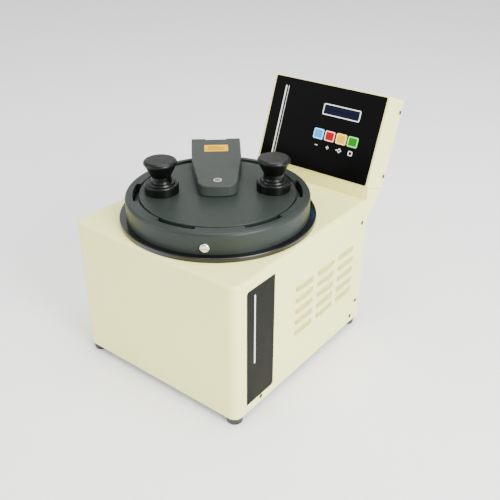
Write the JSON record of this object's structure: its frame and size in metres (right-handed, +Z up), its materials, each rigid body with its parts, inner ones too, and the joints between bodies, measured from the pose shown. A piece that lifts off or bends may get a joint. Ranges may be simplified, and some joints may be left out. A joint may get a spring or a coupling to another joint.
{
  "type": "pressure curing unit",
  "caption": "Bench-top laboratory pressure vessel in a cream sheet-steel housing, with a bayonet lid on a hinged arm and a tilted control console.",
  "frame": {"origin": "centre of the bottom of the overall box, on the surface that the feet stand on", "axes": "+X to the right as seen from the front, +Y from the front to the console at the rear, +Z up"},
  "size_m": [0.3226, 0.443, 0.4028],
  "materials": {
    "aluminium": "milled",
    "arm_enamel": "semi-gloss",
    "black_enamel": "gloss",
    "black_foil": "printed foil",
    "black_plastic": "moulded",
    "black_rubber": "matt",
    "blue_hose": "extruded",
    "brass": "turned",
    "bronze": "plain bearing bronze",
    "chrome": "polished",
    "circuit_board": "solder mask",
    "cream_enamel": "textured enamel",
    "dark_cast": "dark hard anodised",
    "dark_panel": "printed sheet",
    "dark_screw": "blackened",
    "display_glass": "tinted",
    "grey_cable": "insulation",
    "key_cyan": "embossed foil",
    "key_green": "embossed foil",
    "key_red": "embossed foil",
    "key_yellow": "embossed foil",
    "mineral_wool": "felted",
    "nylon": "natural nylon",
    "silicone_seal": "matt",
    "stainless": "satin",
    "yellow_label": "printed foil",
    "zinc_steel": "zinc plated"
  },
  "bodies": {
    "root": {"air_hoses": "blue_hose", "air_inlet_fitting": "brass", "band_heater": "stainless", "base_plate": "zinc_steel", "bayonet_ring": "dark_cast", "board_spacers": "nylon", "bracket_screws": "dark_screw", "casing_screws": "dark_screw", "console_back_cover": "cream_enamel", "console_case": "cream_enamel", "control_board": "circuit_board", "control_overlay": "black_foil", "display_module": "black_plastic", "display_window": "display_glass", "exhaust_silencer": "bronze", "flange_ring": "black_enamel", "foot_screws": "zinc_steel", "fuse_drawer": "black_plastic", "hinge_bracket": "arm_enamel", "hinge_clip": "zinc_steel", "hinge_pin": "chrome", "housing_cover": "cream_enamel", "insulation_jacket": "mineral_wool", "key_switches": "black_plastic", "mains_inlet": "black_plastic", "overheat_switch": "black_plastic", "panel_cable": "grey_cable", "power_leads": "grey_cable", "power_supply": "zinc_steel", "pressure_regulator": "black_plastic", "pressure_sensor": "stainless", "pressure_vessel": "stainless", "rear_panel": "cream_enamel", "relay_board": "circuit_board", "ring_bolts": "zinc_steel", "rubber_feet": "black_rubber", "safety_valve": "brass", "side_label_plate": "dark_panel", "solenoid_valves": "black_plastic", "stop_screw": "chrome", "temperature_sensor": "stainless", "valve_manifold": "aluminium", "vessel_frame": "zinc_steel", "vessel_port": "brass"},
    "lid_arm": {"hinge_arm": "arm_enamel", "caution_label": "yellow_label", "pivot_bolt": "chrome", "pivot_nut": "zinc_steel", "hinge_bushes": "bronze"},
    "lid": {"lid_disc": "dark_cast", "lid_seal": "silicone_seal", "pivot_bush": "bronze", "left_knob": "black_plastic", "right_knob": "black_plastic", "knob_studs": "zinc_steel"},
    "minus_key": {"minus_key": "key_cyan"},
    "plus_key": {"plus_key": "key_red"},
    "start_key": {"start_key": "key_yellow"},
    "stop_key": {"stop_key": "key_green"},
    "mains_rocker": {"mains_rocker": "black_plastic"}
  },
  "joints": [
    {"name": "lid_hinge", "type": "hinge", "parent": "root", "child": "lid_arm", "pos_m": [-0.11484, 0.06624, 0.2885], "axis": [-0.7513, -0.66, 0], "range_deg": [0, 100]},
    {"name": "lid_turn", "type": "hinge", "parent": "lid_arm", "child": "lid", "pos_m": [0, -0.06448, 0.2825], "axis": [0, 0, -1], "range_deg": [0, 24]},
    {"name": "minus_press", "type": "slide", "parent": "root", "child": "minus_key", "axis": [0, 0.9397, -0.342], "range_m": [0, 0.001], "stiffness_N_per_m": 800},
    {"name": "plus_press", "type": "slide", "parent": "root", "child": "plus_key", "axis": [0, 0.9397, -0.342], "range_m": [0, 0.001], "stiffness_N_per_m": 800},
    {"name": "start_press", "type": "slide", "parent": "root", "child": "start_key", "axis": [0, 0.9397, -0.342], "range_m": [0, 0.001], "stiffness_N_per_m": 800},
    {"name": "stop_press", "type": "slide", "parent": "root", "child": "stop_key", "axis": [0, 0.9397, -0.342], "range_m": [0, 0.001], "stiffness_N_per_m": 800},
    {"name": "mains_switch", "type": "hinge", "parent": "root", "child": "mains_rocker", "pos_m": [-0.118, 0.12652, 0.1015], "axis": [1, 0, 0], "range_deg": [0, 16]}
  ]
}
